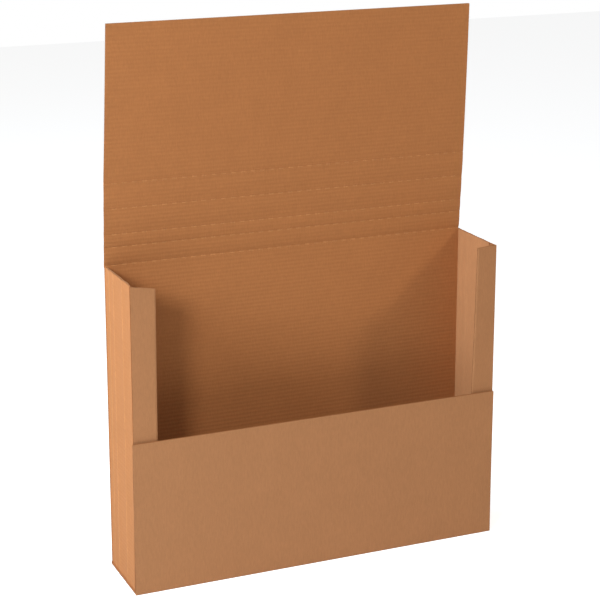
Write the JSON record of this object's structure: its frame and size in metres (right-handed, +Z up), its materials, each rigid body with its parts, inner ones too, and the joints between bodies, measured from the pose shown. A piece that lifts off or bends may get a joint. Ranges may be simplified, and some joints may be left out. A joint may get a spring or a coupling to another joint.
{
  "type": "kraft mailer box",
  "caption": "Tall shallow one-piece corrugated mailer box standing open, with a creased lid, folding side returns and a half-height front flap.",
  "frame": {"origin": "middle of the box's base, on the underside of the bottom wall, halfway from the front face to the back face", "axes": "+X across the width, to the right as seen from the front; +Y towards the back; +Z up"},
  "size_m": [0.773, 0.161, 1.0818],
  "materials": {
    "kraft_board": "matte"
  },
  "bodies": {
    "tray": {"tray": "kraft_board"},
    "lid_top_wall": {"lid_top_wall": "kraft_board"},
    "lid_cover": {"lid_cover": "kraft_board"},
    "bottom_wall": {"bottom_wall": "kraft_board"},
    "front_panel": {"front_panel": "kraft_board"}
  },
  "joints": [
    {"name": "lid_hinge", "type": "hinge", "parent": "tray", "child": "lid_top_wall", "pos_m": [0, 0.07846, 0.6156], "axis": [1, 0, 0], "range_deg": [-4, 86]},
    {"name": "cover_fold", "type": "hinge", "parent": "lid_top_wall", "child": "lid_cover", "pos_m": [0, 0.06713, 0.7776], "axis": [1, 0, 0], "range_deg": [0, 90]},
    {"name": "bottom_fold", "type": "hinge", "parent": "tray", "child": "bottom_wall", "pos_m": [0, 0.07846, 0.002], "axis": [1, 0, 0], "range_deg": [0, 90]},
    {"name": "front_fold", "type": "hinge", "parent": "bottom_wall", "child": "front_panel", "pos_m": [0, -0.07846, 0.002], "axis": [1, 0, 0], "range_deg": [0, 90]}
  ]
}
